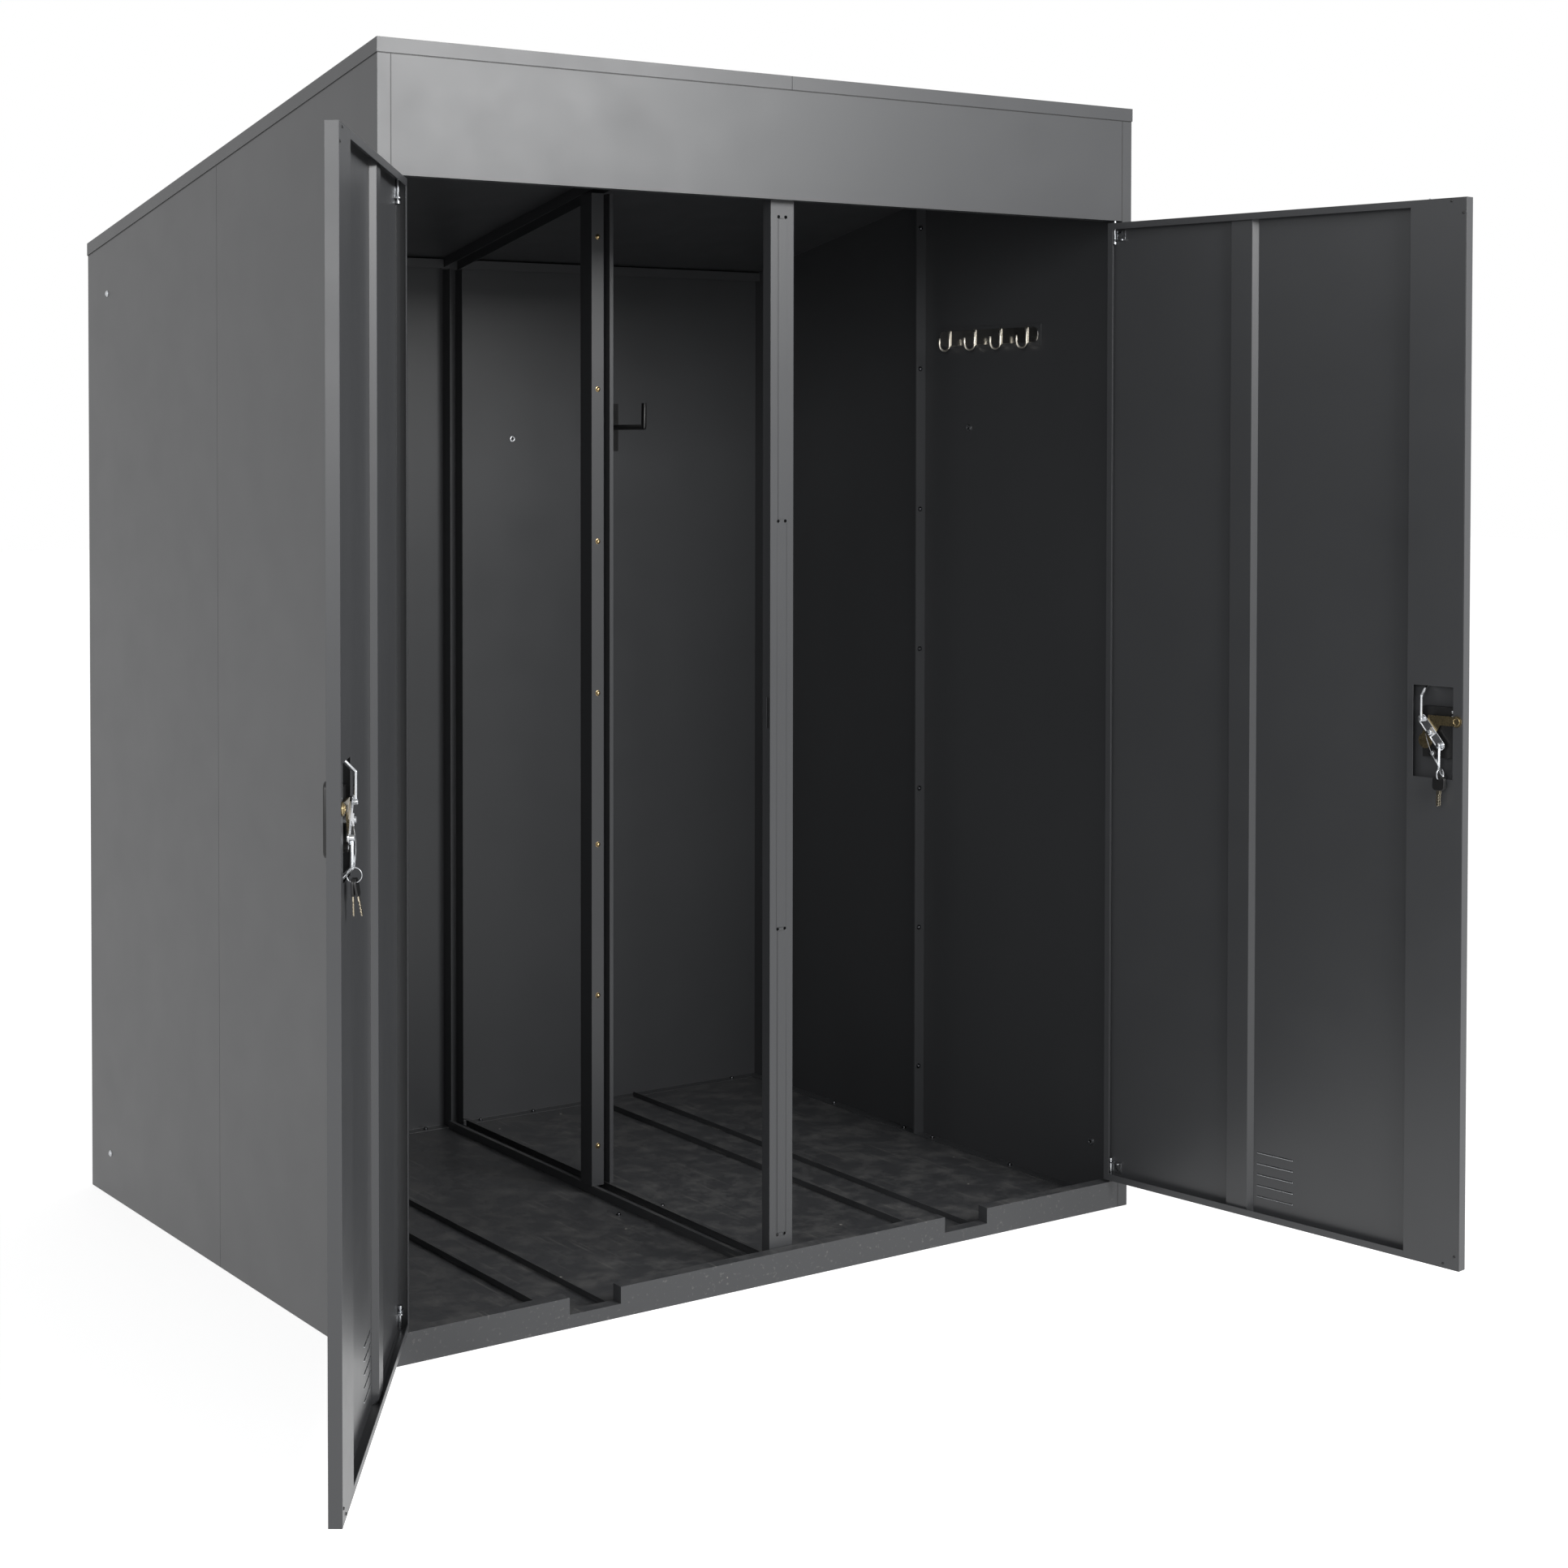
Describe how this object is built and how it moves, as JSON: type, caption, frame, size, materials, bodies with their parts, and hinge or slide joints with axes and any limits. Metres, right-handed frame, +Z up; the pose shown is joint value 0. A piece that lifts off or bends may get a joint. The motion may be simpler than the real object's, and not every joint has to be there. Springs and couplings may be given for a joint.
{
  "type": "double bicycle locker",
  "caption": "Sheet-steel bicycle locker with two bays side by side, a roof falling to the rear, an open centre frame and outward-opening hinged doors.",
  "frame": {"origin": "on the ground, in the middle of the footprint of the walls", "axes": "+X to the right as seen from the front, +Y towards the rear, +Z up"},
  "size_m": [2.18, 2.0955, 2.2103],
  "materials": {
    "grey_paint": "satin powder coat, anthracite grey",
    "zinc_steel": "bright zinc plate",
    "chrome": "polished",
    "yellow_zinc": "yellow passivated",
    "black_plastic": "moulded, fine grain",
    "hook_coating": "black dipped coating"
  },
  "bodies": {
    "cabinet": {"left_wall_front": "grey_paint", "left_wall_rear": "grey_paint", "right_wall_front": "grey_paint", "right_wall_rear": "grey_paint", "back_wall_left": "grey_paint", "back_wall_right": "grey_paint", "roof_left": "grey_paint", "roof_right": "grey_paint", "fascia": "grey_paint", "front_sill": "grey_paint", "left_floor": "grey_paint", "right_floor": "grey_paint", "left_wheel_channel": "grey_paint", "right_wheel_channel": "grey_paint", "center_post": "grey_paint", "mid_post": "grey_paint", "rear_post": "grey_paint", "floor_track": "grey_paint", "ceiling_beam": "grey_paint", "left_coat_rail": "grey_paint", "right_coat_rail": "grey_paint", "left_coat_hooks": "zinc_steel", "right_coat_hooks": "zinc_steel", "left_wheel_hook": "hook_coating", "right_wheel_hook": "hook_coating"},
    "left_door": {"left_door_panel": "grey_paint", "left_door_rib": "grey_paint", "left_lock_channel": "grey_paint", "left_hinge_pins": "zinc_steel", "left_lock_case": "black_plastic", "left_lock_cam": "chrome", "left_lock_rods": "zinc_steel", "left_latch": "yellow_zinc", "left_handle": "black_plastic"},
    "right_door": {"right_door_panel": "grey_paint", "right_door_rib": "grey_paint", "right_lock_channel": "grey_paint", "right_hinge_pins": "zinc_steel", "right_lock_case": "black_plastic", "right_lock_cam": "chrome", "right_lock_rods": "zinc_steel", "right_latch": "yellow_zinc", "right_handle": "black_plastic"}
  },
  "joints": [
    {"name": "left_door_hinge", "type": "hinge", "parent": "cabinet", "child": "left_door", "pos_m": [-0.8005, -0.65, 0], "axis": [0, 0, -1], "range_deg": [-124, 0]},
    {"name": "right_door_hinge", "type": "hinge", "parent": "cabinet", "child": "right_door", "pos_m": [0.8005, -0.65, 0], "axis": [0, 0, 1], "range_deg": [-99, 25]}
  ]
}
